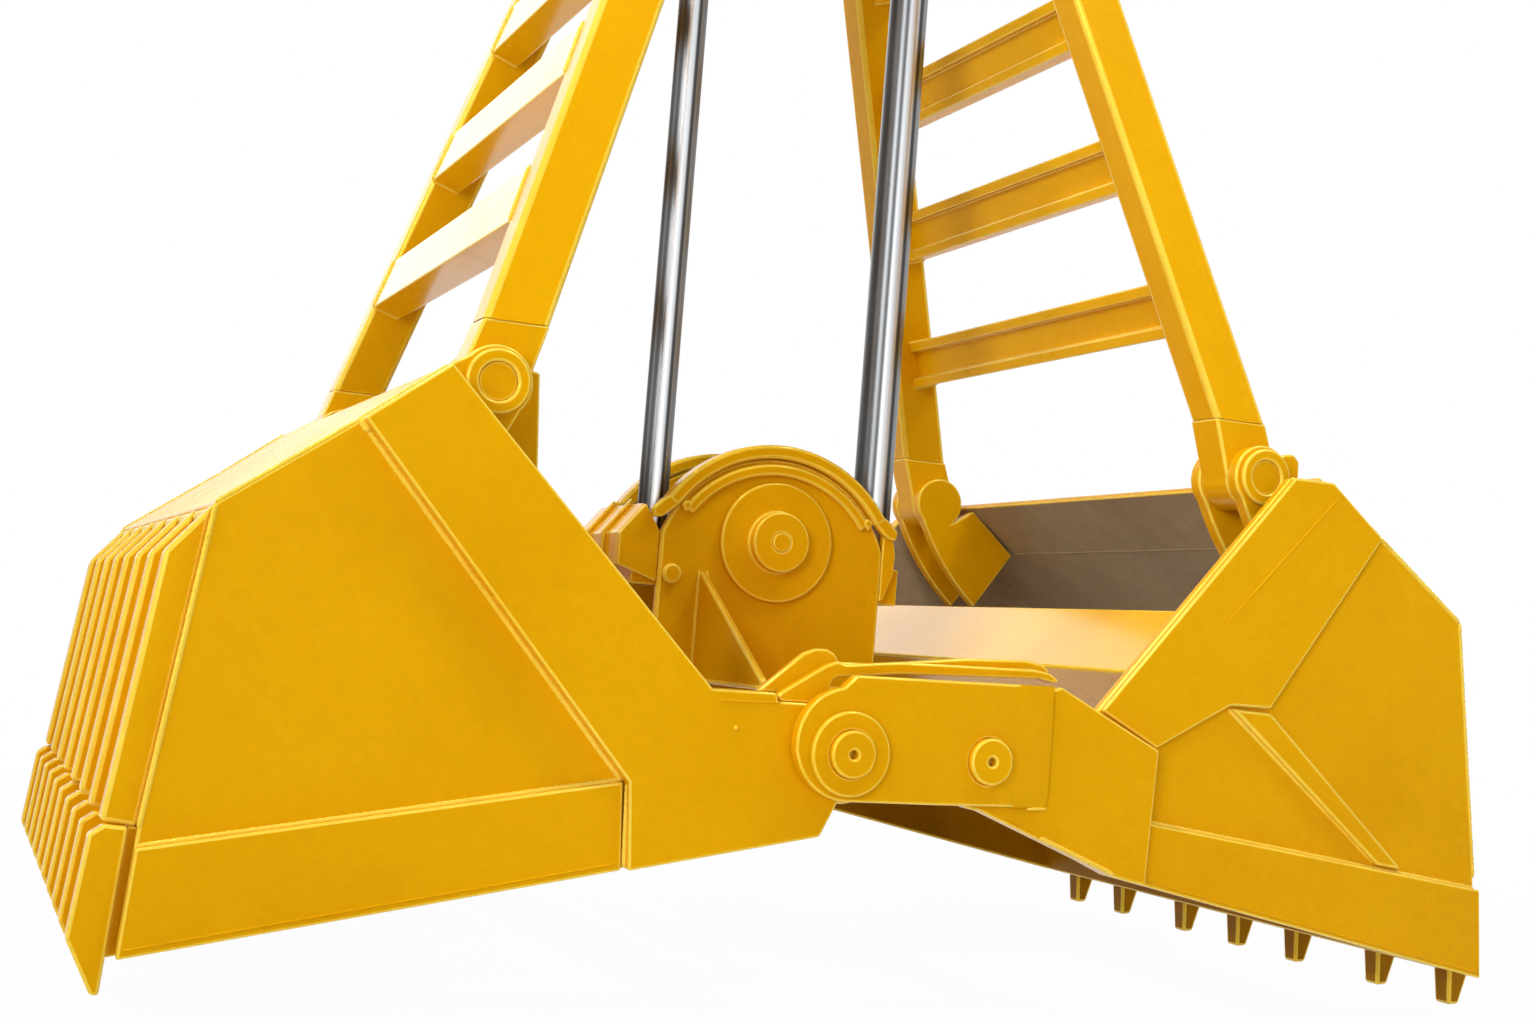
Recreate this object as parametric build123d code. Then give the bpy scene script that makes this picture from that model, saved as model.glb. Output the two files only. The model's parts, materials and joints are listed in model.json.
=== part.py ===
from build123d import *
from math import atan2, cos, hypot, radians, sin, tan
import os

os.makedirs("parts", exist_ok=True)

# Lengths in mm. Drawn with the main hinge axes at height 0 and the grab fully open,
# then lowered by HANG so that the suspension bore sits at the origin.
# X runs across the mouth, Y along the hinge pins, Z up.

# Shell, right-hand half; the left one is its mirror image.
SIDE = 750.0            # outer face of a side plate from the middle plane
SIDE_T = 20.0
HINGE_X = 125.0         # each shell turns on its own pin
TOP_BACK = (1095.0, 295.0)
TOP_BEND = (910.0, 430.0)
TOP_FRONT = (785.0, 527.0)
EDGE_FOOT = (345.0, 85.0)
LIP_TOP = (1156.5, -160.0)
LIP_END = (1170.0, -337.0)
MOUTH_ANGLE = 11.39     # slope of the mouth edge when open, degrees
TOP_T = 14.0
BACK_T = 16.0
LIP_IN = 18.0
LIP_OUT = 12.0
RIGHT_CORNER = (709.0, 516.0)   # the right side plates end in a flat top
RIGHT_TOP = (791.0, 516.0)
RIGHT_FOOT = 386.0      # the right mouth edge starts here
LEFT_RIBS = 8
RIGHT_RIBS = 7
RIB_PITCH = 205.0
RIB_WIDTH = 40.0
RIB_HEIGHT = 50.0
BAR_WIDTH = 32.0
TOOTH_WIDTH = 64.0
TOOTH_TIP = 36.0
BAR_HEIGHT = 56.0
LEFT_BARS = [-732.0 + 1464.0 / 9 * i for i in range(10)]
RIGHT_TEETH = [-650.0, -452.0, -199.0, 0.0, 199.0, 452.0, 650.0]   # pass between the left bars

# Hinge
EYE_R = 80.0
BOSS_R = 72.0
PIN_R = 37.0
RUN = 0.06              # radial running clearance
HINGE_CHEEK_T = 32.0
LINK_GAP = 3.0
LINK_T = 26.0
LINK_TAPER = 24.0       # the link thins towards the right shell
PIN_HEAD = 22.0         # pin end beyond the link
CHEEK_OUT = SIDE + HINGE_CHEEK_T
LINK_IN = CHEEK_OUT + LINK_GAP
LINK_OUT = LINK_IN + LINK_T
END_PLATE_T = 32.0
END_GAP = 4.0           # between a traverse end plate and a hinge boss
BOSS_GAP = 2.0          # between a hinge boss and its link
BOSS_INSET = 54.0       # inner face of a hinge boss behind the outer face of its side plate
BOSS_IN = SIDE - BOSS_INSET
END_OUT = BOSS_IN - END_GAP
BEAM_END = END_OUT - END_PLATE_T

# Ears and arms
EAR_PIN = (695.0, 519.0)
EAR_PIN_R = 30.0
EAR_R = 57.0
ARM_INSET = 132.0       # arm foot inside the outer face of the side plate
ARM_Y = SIDE - ARM_INSET
ARM_DEPTH = 80.0
ARM_WIDTH = 100.0
HEAD_RISE = 1400.0      # arm top pivot above the ear pin, open
HEAD_X = 250.0
HEAD_Y = 340.0
HEAD_PIN_R = 28.0
NECK = 100.0
WALL = 9.0
RUNGS = [311.0, 581.0, 851.0, 1121.0]
RUNG_HALF = 52.0
RUNG_DEPTH = 62.0
RUNG_T = 22.0           # flange
RUNG_WEB = 10.0
RUNG_RECESS = 16.0      # inner plate behind the flange edges

# Lower block and guide rods
AXLE_Z = 350.0
SHEAVE_R = 150.0
ARC_Z = 267.0
CHEEK_Y = 125.0
CHEEK_T = 20.0
BOSS_END = 36.0         # bearing boss beyond the cheek
ROD_X, ROD_Y = 225.0, -80.0
LEFT_ROD_R, RIGHT_ROD_R = 28.0, 37.5

# Head
PIVOT_Z = EAR_PIN[1] + HEAD_RISE
LUG_RISE = 470.0
LUG_BORE_R = 41.0
HANG = PIVOT_Z + LUG_RISE


def plate(points, y0, y1):
    outline = Wire.make_polygon([Vector(x, y0, z) for x, z in points], close=True)
    return Solid.extrude(Face(outline), Vector(0, y1 - y0, 0))


def curved_plate(start, path, y0, y1):
    # each step of the path is an end point, or a middle and an end point of an arc
    here = Vector(start[0], y0, start[1])
    edges = []
    for step in path:
        stops = [Vector(x, y0, z) for x, z in step]
        if len(stops) == 1:
            edges.append(Edge.make_line(here, stops[0]))
        else:
            edges.append(Edge.make_three_point_arc(here, *stops))
        here = stops[-1]
    return Solid.extrude(Face(Wire(edges)), Vector(0, y1 - y0, 0))


def rod_y(x, z, radius, y0, y1):
    return Solid.make_cylinder(radius, y1 - y0, Plane(origin=(x, y0, z), z_dir=(0, 1, 0)))


def rod_z(x, y, radius, z0, z1):
    return Solid.make_cylinder(radius, z1 - z0, Plane(origin=(x, y, z0), z_dir=(0, 0, 1)))


def block(x0, x1, y0, y1, z0, z1):
    return Solid.make_box(x1 - x0, y1 - y0, z1 - z0, Plane(origin=(x0, y0, z0)))


def ring_y(x, z, inner, outer, y0, y1):
    return rod_y(x, z, outer, y0, y1) - rod_y(x, z, inner, y0 - 1, y1 + 1)


def both(shape):
    return [shape, shape.mirror(Plane.XZ)]


def flip(shapes):
    return [shape.mirror(Plane.YZ) for shape in shapes]


def save(name, shapes):
    solids = [solid for shape in shapes for solid in shape.solids()]
    node = Compound(solids).moved(Location((0, 0, -HANG)))
    export_step(node, "parts/" + name + ".step")


def mouth(x):
    return LIP_END[1] + (LIP_END[0] - x) * tan(radians(MOUTH_ANGLE))


def along(start, end):
    length = hypot(end[0] - start[0], end[1] - start[1])
    unit = ((end[0] - start[0]) / length, (end[1] - start[1]) / length)

    def place(run, out):
        # out is measured to the left of the direction of travel
        return (start[0] + unit[0] * run - unit[1] * out, start[1] + unit[1] * run + unit[0] * out)

    return place, length


back, back_length = along(TOP_BACK, LIP_TOP)
lip, lip_length = along(LIP_TOP, LIP_END)
edge = along(EDGE_FOOT, TOP_FRONT)[0]
top_a = along(TOP_FRONT, TOP_BEND)[0]
top_b, top_b_length = along(TOP_BEND, TOP_BACK)


# Plates common to both shells, drawn right-hand

side_outline = [TOP_FRONT, TOP_BEND, TOP_BACK, LIP_TOP, LIP_END]
side_outline += [(240.0, mouth(240.0)), (240.0, 85.0), EDGE_FOOT]
side_plates = both(plate(side_outline, SIDE - SIDE_T, SIDE))

inner = SIDE - SIDE_T
bend_in = (TOP_BEND[0] - TOP_T * 0.6, TOP_BEND[1] - TOP_T * 0.8)
top_plate = plate(
    [TOP_FRONT, TOP_BEND, TOP_BACK, top_b(top_b_length, -TOP_T), bend_in, top_a(0, -TOP_T)], -inner, inner
)
back_plate = plate(
    [back(22, 0), back(back_length - 3, 0), back(back_length - 3, -BACK_T), back(22, -BACK_T)], -inner, inner
)
lip_out_x = lip(lip_length, LIP_OUT)[0]
lip_in_x = lip(lip_length, -LIP_IN)[0]
lip_outline = [lip(0, LIP_OUT), (lip_out_x, mouth(lip_out_x)), (lip_in_x, mouth(lip_in_x)), lip(0, -LIP_IN)]
lip_plate = plate(lip_outline, -inner, inner)

rib_outline = [back(2, 0), back(80, RIB_HEIGHT), back(back_length, RIB_HEIGHT), back(back_length, 0)]


def back_ribs(count):
    places = [(i - (count - 1) / 2) * RIB_PITCH for i in range(count)]
    return [plate(rib_outline, y - RIB_WIDTH / 2, y + RIB_WIDTH / 2) for y in places]


def lip_bars(places, width, reach, tip):
    outline = [
        lip(0, LIP_OUT),
        lip(0, LIP_OUT + BAR_HEIGHT - 24),
        lip(15, LIP_OUT + BAR_HEIGHT - 6),
        lip(lip_length - 20, LIP_OUT + BAR_HEIGHT),
        lip(lip_length + reach, LIP_OUT + tip),
        lip(lip_length + reach, LIP_OUT),
    ]
    return [plate(outline, y - width / 2, y + width / 2) for y in places]


def tooth_taper(y):
    high, low = LIP_TOP[1] + 20, LIP_END[1] - 80
    wide_half, tip_half = TOOTH_WIDTH / 2, TOOTH_TIP / 2
    corners = [(y - wide_half, high), (y + wide_half, high), (y + tip_half, low), (y - tip_half, low)]
    outline = Wire.make_polygon([Vector(LIP_TOP[0] - 100, side, z) for side, z in corners], close=True)
    return Solid.extrude(Face(outline), Vector(300, 0, 0))


cross_beam = plate([edge(105, 0), edge(265, 0), edge(265, -110), edge(105, -110)], -inner, inner) - plate(
    [edge(117, -12), edge(253, -12), edge(253, -98), edge(117, -98)], -inner - 1, inner + 1
)


def ear(y0, y1):
    x, z = EAR_PIN
    path = [
        [(x + 10, z - 127), (x + 108, z - 232)],
        [(bend_in[0] - 8, bend_in[1] - 4)],
        [top_a(10, -TOP_T - 0.5)],
        [(x + 36, z - 44)],
        [(x - EAR_R, z)],
    ]
    return curved_plate((x - EAR_R, z), path, y0, y1) + rod_y(x, z, EAR_R, y0, y1)


def outer_ear(y0, y1, shoulder):
    x, z = EAR_PIN
    corners = [(x + run, z + rise) for run, rise in shoulder] + [(x + 77, z + 2), (x + 40, z - 30)]
    return ear(y0, y1) + plate(corners, y0, y1) - rod_y(x, z, EAR_PIN_R, y0 - 1, y1 + 1)


def inner_ear(y0, y1, apron=0.0):
    # an apron widens the ear towards the mouth
    x, z = EAR_PIN
    body = ear(y0, y1)
    if apron:
        front = x - EAR_R - apron
        corners = [(x, z + EAR_R), (front, z + 36), (front - 12, z - 150)]
        corners += [(x + 8, z - 190), (x + 90, z - 190), (x + 20, z)]
        body = body + plate(corners, y0, y1)
    return body - rod_y(*EAR_PIN, EAR_PIN_R, PIN_BOTTOM, y1 + 1)


half_eye = ARM_DEPTH / 2
PIN_BOTTOM = ARM_Y - half_eye - 16      # the pin ends inside the inner ear
ear_face = ARM_Y + half_eye + 30
ear_back = ARM_Y - half_eye - 30
STOP_TAB = [(20, 20), (44, 46), (64, 48), (76, 36)]
SLOPE = [(12, 55), (78, 16)]
right_ears = both(outer_ear(ear_face - 28, ear_face, STOP_TAB)) + both(inner_ear(ear_back, ear_back + 28))
left_ears = both(outer_ear(ear_face - 28, ear_face, SLOPE)) + both(inner_ear(ear_back, ear_back + 28, 40.0))
ear_rings = both(ring_y(*EAR_PIN, EAR_PIN_R, 50.0, ear_face, ear_face + 13))
ear_pins = both(rod_y(*EAR_PIN, EAR_PIN_R, PIN_BOTTOM, ear_face + 8))


def hinge_cheek(outline):
    # a hinge cheek with its welded eye and boss, bored for the running pin
    body = plate(outline, SIDE, CHEEK_OUT) + rod_y(HINGE_X, 0, EYE_R, SIDE, CHEEK_OUT)
    body = body + rod_y(HINGE_X, 0, BOSS_R, BOSS_IN, LINK_IN - BOSS_GAP)
    return both(body - rod_y(HINGE_X, 0, PIN_R + RUN, BOSS_IN - 1, LINK_IN))


# Left shell, drawn right-hand and then mirrored

STRAP_SEAT = 72.0       # ledge under the front strap
left_cheek_outline = [
    TOP_FRONT,
    (904.0, 434.5),
    (466.0, -62.0),
    (456.0, mouth(456.0)),
    (150.0, mouth(150.0)),
    (HINGE_X, -EYE_R),
    (HINGE_X, STRAP_SEAT),
    (236.0, STRAP_SEAT),
    (240.0, EDGE_FOOT[1]),
    EDGE_FOOT,
]
left_mouth_outline = [(470.0, -63.0), (LIP_TOP[0] + 2.0, -186.0), LIP_END, (462.0, mouth(462.0))]

save("left_side_plates", flip(side_plates))
save("left_hinge_cheeks", flip(hinge_cheek(left_cheek_outline)))
save("left_mouth_bands", flip(both(plate(left_mouth_outline, SIDE, SIDE + 16))))
save("left_top_plate", flip([top_plate]))
save("left_back_plate", flip([back_plate]))
save("left_back_ribs", flip(back_ribs(LEFT_RIBS)))
save("left_lip", flip([lip_plate]))
save("left_lip_bars", flip(lip_bars(LEFT_BARS, BAR_WIDTH, 52.0, 12.0)))
save("left_cross_beam", flip([cross_beam]))
save("left_ears", flip(left_ears))
save("left_ear_rings", flip(ear_rings))
save("left_ear_pins", flip(ear_pins))

# Straps welded on the left hinge cheeks; they reach over the hinge and stop the opening.


front_strap = [
    (-236, 80),
    (-228, STRAP_SEAT),
    (-164, STRAP_SEAT),
    (-147, 90),
    (-146, 108),
    (-137, 116),
    (-109, 118),
    (-29, 127),
    (222, 136),
    (250, 131),
    (262, 135),
    (242, 147),
    (213, 151),
    (-31, 146),
    (-122, 136),
    (-138, 140),
    (-156, 133),
    (-227, 88),
]
rear_strap = [
    (-258, 85),
    (-185, 149),
    (-166, 157),
    (-146, 158),
    (-131, 151),
    (-124, 139),
    (-60, 141),
    (100, 160),
    (213, 165),
    (242, 160),
    (258, 149),
    (246, 143),
    (222, 149),
    (100, 142),
    (-60, 123),
    (-132, 120),
    (-150, 106),
    (-214, 85),
]
straps = both(plate(front_strap, SIDE + 2, CHEEK_OUT - 8)) + both(plate(rear_strap, inner + 1, SIDE - 2))
save("opening_straps", straps)

# Right shell

right_hinge_outline = [
    (HINGE_X, EYE_R),
    (262.0, 126.0),
    (455.0, 33.0),
    (444.0, mouth(444.0)),
    (RIGHT_FOOT, mouth(RIGHT_FOOT)),
    (HINGE_X, -EYE_R),
]
right_band_outline = [RIGHT_CORNER, RIGHT_TOP, (903.0, 428.0), (686.0, 116.0), (604.0, 116.0)]
right_band_outline += [(462.0, 36.0), (352.0, 92.1)]
right_mouth_outline = [(450.0, -88.0), (LIP_TOP[0] + 2.0, -180.0), LIP_END, (450.0, mouth(450.0))]
strip_outline = [(610.0, 111.0), (688.0, 108.0), (986.0, -150.0), (932.0, -143.0)]

right_side_outline = [RIGHT_CORNER, RIGHT_TOP, TOP_BEND, TOP_BACK, LIP_TOP, LIP_END]
right_side_outline += [(RIGHT_FOOT, mouth(RIGHT_FOOT)), (240.0, -118.0), (240.0, 85.0), EDGE_FOOT]
save("right_side_plates", both(plate(right_side_outline, SIDE - SIDE_T, SIDE)))
save("right_hinge_plates", hinge_cheek(right_hinge_outline))
save("right_edge_bands", both(plate(right_band_outline, SIDE, SIDE + 14)))
save("right_mouth_bands", both(plate(right_mouth_outline, SIDE, SIDE + 16)))
save("right_diagonal_strips", both(plate(strip_outline, SIDE, SIDE + 12)))
save("right_top_plate", [top_plate])
save("right_back_plate", [back_plate])
save("right_back_ribs", back_ribs(RIGHT_RIBS))
save("right_lip", [lip_plate])
teeth = lip_bars(RIGHT_TEETH, TOOTH_WIDTH, 66.0, 24.0)
save("right_teeth", [tooth & tooth_taper(y) for tooth, y in zip(teeth, RIGHT_TEETH)])
save("right_cross_beam", [cross_beam])
save("right_ears", right_ears)
save("right_ear_rings", ear_rings)
save("right_ear_pins", ear_pins)

# Ladder arms: two box arms, eyes at both ends, box rungs with a recessed inner face

lean = (HEAD_X - EAR_PIN[0]) / HEAD_RISE
box_foot_z = EAR_PIN[1] + NECK
box_head_z = PIVOT_Z - NECK
box_foot_x = EAR_PIN[0] + lean * NECK
box_head_x = HEAD_X - lean * NECK
box_rise = Vector(box_head_x - box_foot_x, HEAD_Y - ARM_Y, box_head_z - box_foot_z)
wide = ARM_WIDTH / cos(atan2(-lean, 1.0))


def sheared_box(x_size, y_size):
    x0, x1 = box_foot_x - x_size / 2, box_foot_x + x_size / 2
    y0, y1 = ARM_Y - y_size / 2, ARM_Y + y_size / 2
    corners = [(x0, y0), (x1, y0), (x1, y1), (x0, y1)]
    outline = Wire.make_polygon([Vector(x, y, box_foot_z) for x, y in corners], close=True)
    return Solid.extrude(Face(outline), box_rise)


def eye_block(pin, radius, bore, neck_x, neck_z, y):
    outline = [
        (pin[0] - radius, pin[1]),
        (neck_x - wide / 2, neck_z),
        (neck_x + wide / 2, neck_z),
        (pin[0] + radius, pin[1]),
    ]
    if neck_z > pin[1]:
        outline.reverse()
    body = plate(outline, y - half_eye, y + half_eye) + rod_y(*pin, radius, y - half_eye, y + half_eye)
    return body - rod_y(*pin, bore, y - half_eye - 1, y + half_eye + 1)


arm_boxes = both(sheared_box(wide, ARM_DEPTH) - sheared_box(wide - 2 * WALL, ARM_DEPTH - 2 * WALL))
lower_eyes = both(eye_block(EAR_PIN, EAR_R - 2, EAR_PIN_R + RUN, box_foot_x, box_foot_z, ARM_Y))
upper_eyes = both(eye_block((HEAD_X, PIVOT_Z), 56.0, HEAD_PIN_R, box_head_x, box_head_z, HEAD_Y))
arm_top_pins = both(rod_y(HEAD_X, PIVOT_Z, HEAD_PIN_R, HEAD_Y - half_eye - 1, HEAD_Y + half_eye + 1))

foot_gap = ARM_Y - half_eye
head_gap = HEAD_Y - half_eye
between_outline = Wire.make_polygon(
    [
        Vector(-50, -foot_gap, box_foot_z),
        Vector(-50, foot_gap, box_foot_z),
        Vector(-50, head_gap, box_head_z),
        Vector(-50, -head_gap, box_head_z),
    ],
    close=True,
)
between_arms = Solid.extrude(Face(between_outline), Vector(1000, 0, 0))
arm_line, arm_length = along(EAR_PIN, (HEAD_X, PIVOT_Z))
rung_scale = arm_length / HEAD_RISE
rungs = []
for rise in RUNGS:
    run = rise * rung_scale
    outer = -ARM_WIDTH / 2
    tip = outer + RUNG_DEPTH
    slot = RUNG_HALF - RUNG_T
    inside = tip - RUNG_RECESS
    section = [
        arm_line(run - RUNG_HALF, outer),
        arm_line(run + RUNG_HALF, outer),
        arm_line(run + RUNG_HALF, tip),
        arm_line(run + slot, tip),
        arm_line(run + slot, inside),
        arm_line(run - slot, inside),
        arm_line(run - slot, tip),
        arm_line(run - RUNG_HALF, tip),
    ]
    hollow = [
        arm_line(run - slot, outer + RUNG_WEB),
        arm_line(run + slot, outer + RUNG_WEB),
        arm_line(run + slot, inside - RUNG_WEB),
        arm_line(run - slot, inside - RUNG_WEB),
    ]
    rung = plate(section, -foot_gap, foot_gap) - plate(hollow, -foot_gap - 1, foot_gap + 1)
    rungs.append(rung & between_arms)

for side, turn in (("left", flip), ("right", list)):
    save(side + "_arm_boxes", turn(arm_boxes))
    save(side + "_arm_eyes", turn(lower_eyes + upper_eyes))
    save(side + "_arm_top_pins", turn(arm_top_pins))
    save(side + "_rungs", turn(rungs))

# Lower block: traverse beam, hinge links and pins

traverse = block(-105, 105, -BEAM_END, BEAM_END, -70, 84)
traverse = traverse - block(-91, 91, -BEAM_END - 1, BEAM_END + 1, -56, 70)
save("traverse_beam", [traverse])
end_outline = [(-205, 40), (-150, 84), (150, 84), (205, 40), (205, -40), (160, -80), (-160, -80), (-205, -40)]
end_plate = plate(end_outline, BEAM_END, END_OUT)
for x in (-HINGE_X, HINGE_X):
    end_plate = end_plate - rod_y(x, 0, PIN_R, BEAM_END - 1, END_OUT + 1)
save("traverse_end_plates", both(end_plate))

link_outline = [(-HINGE_X, -74), (238, -70), (244, -56), (244, 126), (-119, 121), (-188, 54), (-213, 0)]
link = plate(link_outline, LINK_IN, LINK_OUT) + rod_y(-HINGE_X, 14, 88.0, LINK_IN, LINK_OUT)
link = link - block(-400, 400, LINK_IN - 1, LINK_OUT + 1, -200, -74)
taper_corners = [(20, LINK_OUT), (250, LINK_OUT - LINK_TAPER), (250, LINK_OUT + 40), (20, LINK_OUT + 40)]
taper_outline = Wire.make_polygon([Vector(x, y, -300) for x, y in taper_corners], close=True)
link = link - Solid.extrude(Face(taper_outline), Vector(0, 0, 600))
link = link + rod_y(-HINGE_X, 0, 66.0, LINK_OUT - 1, LINK_OUT + 12)
for x in (-HINGE_X, HINGE_X):
    link = link - rod_y(x, 0, PIN_R, LINK_IN - 1, LINK_OUT + PIN_HEAD)
save("hinge_links", both(link))

hinge_pins = []
for x, head in ((-HINGE_X, PIN_HEAD), (HINGE_X, PIN_HEAD - 18)):
    pin = rod_y(x, 0, PIN_R, BEAM_END, LINK_OUT + head)
    pin = pin - rod_y(x, 0, 7.0, LINK_OUT + head - 20, LINK_OUT + head + 1)
    hinge_pins += both(pin)
save("hinge_pins", hinge_pins)

# Sheave housing on the traverse

round_top = rod_y(0, ARC_Z, 240.0, CHEEK_Y, CHEEK_Y + CHEEK_T) & block(-225, 225, 0, 400, 200, 600)
cheek = block(-225, 225, CHEEK_Y, CHEEK_Y + CHEEK_T, 84, ARC_Z) + round_top
cheek = cheek - rod_y(0, AXLE_Z, 40.0, CHEEK_Y - 1, CHEEK_Y + CHEEK_T + 1)
save("block_cheeks", both(cheek))

face = CHEEK_Y + CHEEK_T
disc = rod_y(0, AXLE_Z, 112.0, face, face + 14) + rod_y(0, AXLE_Z, 56.0, face + 13, face + BOSS_END)
disc = disc - rod_y(0, AXLE_Z, 18.0, face - 1, face + BOSS_END + 1)
save("bearing_discs", both(disc))
axle_end = face + BOSS_END + 2
lower_axle = rod_y(0, AXLE_Z, 40.0, -face, face) + rod_y(0, AXLE_Z, 18.0, -axle_end, axle_end)
save("lower_axle", [lower_axle])


def arc_band(inner_r, outer_r, half_angle, y0, y1):
    reach = 600.0
    x, z = reach * sin(radians(half_angle)), reach * cos(radians(half_angle))
    top = ARC_Z + 700
    wedge = plate([(0, ARC_Z), (-x, ARC_Z + z), (-x, top), (x, top), (x, ARC_Z + z)], y0 - 1, y1 + 1)
    return ring_y(0, ARC_Z, inner_r, outer_r, y0, y1) & wedge


save("sheave_guards", both(arc_band(240.0, 266.0, 57.0, CHEEK_Y - 6, face + 16)))
save("guard_rims", both(arc_band(208.0, 230.0, 55.0, face, face + 14)))

fin_outline = [(-225.5, 352), (-256, 400), (-303, 342), (-303, 284), (-225.5, 258)]
fins = both(plate(fin_outline, CHEEK_Y, CHEEK_Y + 12))
cover_outline = [(-256, 402), (-303, 344), (-303, 284), (-289, 284), (-289, 338), (-256, 376)]
cover = plate(cover_outline, -CHEEK_Y, CHEEK_Y)
rib_shape = [(-256, 402), (-303, 344), (-303, 284), (-311, 284), (-311, 347), (-258, 412)]
cover_ribs = both(plate(rib_shape, 45, 57))
lug_outline = [(225.5, 404), (240, 410), (254, 350), (252, 310), (234, 262), (225.5, 256)]
edge_lugs = both(plate(lug_outline, CHEEK_Y, face - 2))
save("side_guards", fins + [cover] + cover_ribs + edge_lugs)

gusset_corners = [(-face, 286), (-face, 84), (-480, 84), (-480, 98)]
gusset_outline = Wire.make_polygon([Vector(-145, y, z) for y, z in gusset_corners], close=True)
gusset = Solid.extrude(Face(gusset_outline), Vector(14, 0, 0))
gussets = [gusset, gusset.rotate(Axis.Z, 180)]
save("block_gussets", gussets)
bolt = rod_y(-202, 275, 19.0, -face - 14, -face)
save("block_bolts", [bolt, bolt.rotate(Axis.Z, 180)])

# Guide rods clamped in the block, sliding in the head

rods = []
sockets = []
collars = []
bushes = []
rod_top = PIVOT_Z + 360
for x, radius in ((-ROD_X, LEFT_ROD_R), (ROD_X, RIGHT_ROD_R)):
    rods.append(rod_z(x, ROD_Y, radius, 252, rod_top))
    half = 46.0
    socket = block(x - half, x + half, -CHEEK_Y, ROD_Y + 48, 252, 322) - rod_z(x, ROD_Y, radius, 200, 400)
    sockets.append(socket)
    collar = rod_z(x, ROD_Y, radius + 16, PIVOT_Z + 290, PIVOT_Z + 330)
    collars.append(collar - rod_z(x, ROD_Y, radius, 2000, rod_top))
    bush = rod_z(x, ROD_Y, 58.0, PIVOT_Z + 150, PIVOT_Z + 285)
    bushes.append(bush - rod_z(x, ROD_Y, radius + RUN, 1900, rod_top))
save("guide_rods", rods)
save("rod_sockets", sockets)
save("rod_collars", collars)

# Sheaves


def sheave(y, width, z, bore):
    groove = 16.0
    half_width = width / 2
    profile = [
        (bore, -half_width),
        (SHEAVE_R, -half_width),
        (SHEAVE_R, -half_width + 6),
        (SHEAVE_R - groove - 8, -7),
        (SHEAVE_R - groove - 8, 7),
        (SHEAVE_R, half_width - 6),
        (SHEAVE_R, half_width),
        (bore, half_width),
    ]
    outline = Wire.make_polygon([Vector(r, y + w, z) for r, w in profile], close=True)
    return Solid.revolve(Face(outline), 360, Axis((0, 0, z), (0, 1, 0)))


save("lower_sheaves", [sheave(y, 62.0, AXLE_Z, 40.0 + RUN) for y in (-44.0, 44.0)])
upper_z = PIVOT_Z + 30
save("upper_sheaves", [sheave(y, 62.0, upper_z, 36.0 + RUN) for y in (-66.0, 0.0, 66.0)])

# Head

in0, in1 = HEAD_Y - half_eye - 25, HEAD_Y - half_eye - 5
out0, out1 = HEAD_Y + half_eye + 5, HEAD_Y + half_eye + 25
half_head = [(0, -85), (330, -85), (490, -15), (490, 85), (225, 330), (0, 330)]
head_outline = [(x, PIVOT_Z + z) for x, z in half_head]
head_outline += [(-x, PIVOT_Z + z) for x, z in reversed(half_head[1:-1])]
save("head_outer_cheeks", both(plate(head_outline, out0, out1)))
save("head_inner_cheeks", both(plate(head_outline, in0, in1) - rod_y(0, upper_z, 36.0, 0, 900)))
spacers = []
for x in (-130.0, 130.0):
    spacers += both(ring_y(x, PIVOT_Z + 265, 30.0, 44.0, in1, out0))
head_box = [
    block(-160, 160, -out1, out1, PIVOT_Z + 330, PIVOT_Z + 352),
    block(-155, -135, -in0, in0, PIVOT_Z + 196, PIVOT_Z + 330),
    block(135, 155, -in0, in0, PIVOT_Z + 196, PIVOT_Z + 330),
]
save("head_box", head_box + spacers)
guide_plates = []
for x in (-ROD_X, ROD_X):
    inner_x = 155.0 if x > 0 else -322.0
    guide_plate = block(inner_x, inner_x + 167, -in0, in0, PIVOT_Z + 196, PIVOT_Z + 222)
    guide_plates.append(guide_plate - rod_z(x, ROD_Y, 58.0, PIVOT_Z, PIVOT_Z + 400))
save("guide_plates", guide_plates)
save("guide_bushes", bushes)
upper_axle = rod_y(0, upper_z, 36.0, -in1, in1) + rod_y(0, upper_z, 50.0, in1, in1 + 12)
save("upper_axle", [upper_axle + rod_y(0, upper_z, 50.0, -in1 - 12, -in1)])
caps = []
for x in (-HEAD_X, HEAD_X):
    cap = rod_y(x, PIVOT_Z, 58.0, out1, out1 + 12)
    caps += both(cap + rod_y(x, PIVOT_Z, HEAD_PIN_R, out1 + 11, out1 + 22))
save("head_pivot_caps", caps)
lug_z = PIVOT_Z + LUG_RISE
lug_base = PIVOT_Z + 352
lug = plate([(-120, lug_base), (120, lug_base), (76, lug_z), (-76, lug_z)], -30, 30)
lug = lug + rod_y(0, lug_z, 76.0, -30, 30)
save("suspension_lug", [lug - rod_y(0, lug_z, LUG_BORE_R, -40, 40)])
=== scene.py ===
import json
import math
import random

import bmesh
import bpy
from mathutils import Matrix, Vector

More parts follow.
